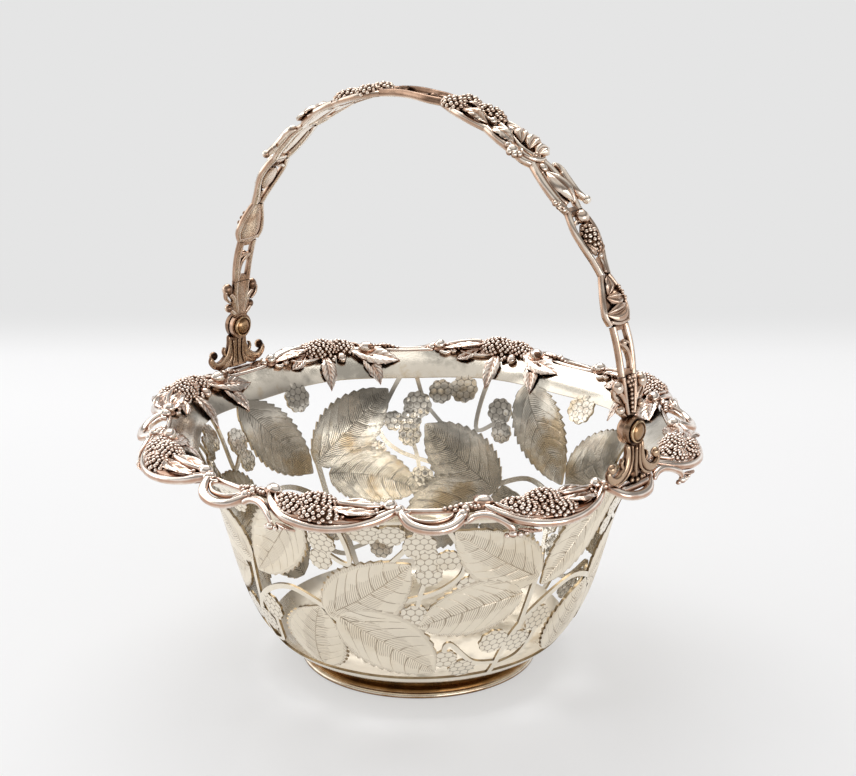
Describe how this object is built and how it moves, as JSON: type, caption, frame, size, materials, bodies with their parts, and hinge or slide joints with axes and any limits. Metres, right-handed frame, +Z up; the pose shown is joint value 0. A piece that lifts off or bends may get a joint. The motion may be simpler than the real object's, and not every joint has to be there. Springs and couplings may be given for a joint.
{
  "type": "pierced silver basket",
  "caption": "Round footed silver basket with a saw-pierced wall of leafy vines, a cast border of berries and leaves, and an openwork cast bail handle that swings on rivets.",
  "frame": {"origin": "middle of the foot ring, on the surface that the basket stands on", "axes": "+Z up; X runs through the two rivets that the handle swings on, so the upright handle stands in the XZ plane; Y is across the handle"},
  "size_m": [0.2658, 0.2658, 0.274],
  "materials": {
    "silver": "polished sterling silver sheet with engraved leaves and light tarnish in the lines",
    "cast_silver": "cast and chased silver, warm tarnish left in the recesses",
    "browned_silver": "cast silver browned with old tarnish, bright on its high edges"
  },
  "bodies": {
    "basket": {"foot_ring": "browned_silver", "pierced_bowl": "silver", "berry_cluster_1": "cast_silver", "berry_cluster_2": "cast_silver", "berry_cluster_3": "cast_silver", "berry_cluster_4": "cast_silver", "berry_cluster_5": "cast_silver", "berry_cluster_6": "cast_silver", "berry_cluster_7": "cast_silver", "berry_cluster_8": "cast_silver", "scroll_link_1": "cast_silver", "scroll_link_2": "cast_silver", "scroll_link_3": "cast_silver", "scroll_link_4": "cast_silver", "scroll_link_5": "cast_silver", "scroll_link_6": "cast_silver", "scroll_link_7": "cast_silver", "scroll_link_8": "cast_silver", "hinge_bracket_right": "browned_silver", "hinge_bracket_left": "browned_silver", "rivet_right": "silver", "rivet_left": "silver"},
    "bail": {"bail_shield_right": "cast_silver", "bail_shield_left": "cast_silver", "bail_strut_right": "cast_silver", "bail_strut_left": "cast_silver", "bail_leaf_right": "cast_silver", "bail_leaf_left": "cast_silver", "bail_berry_frame_right": "cast_silver", "bail_berry_frame_left": "cast_silver", "bail_acanthus_right": "cast_silver", "bail_acanthus_left": "cast_silver", "bail_scrollwork_right": "cast_silver", "bail_scrollwork_left": "cast_silver", "bail_berry_pair_right": "cast_silver", "bail_berry_pair_left": "cast_silver", "bail_centre_link": "cast_silver"}
  },
  "joints": [
    {"name": "bail_hinge", "type": "hinge", "parent": "basket", "child": "bail", "pos_m": [0, 0, 0.14], "axis": [1, 0, 0], "range_deg": [-88, 88]}
  ]
}
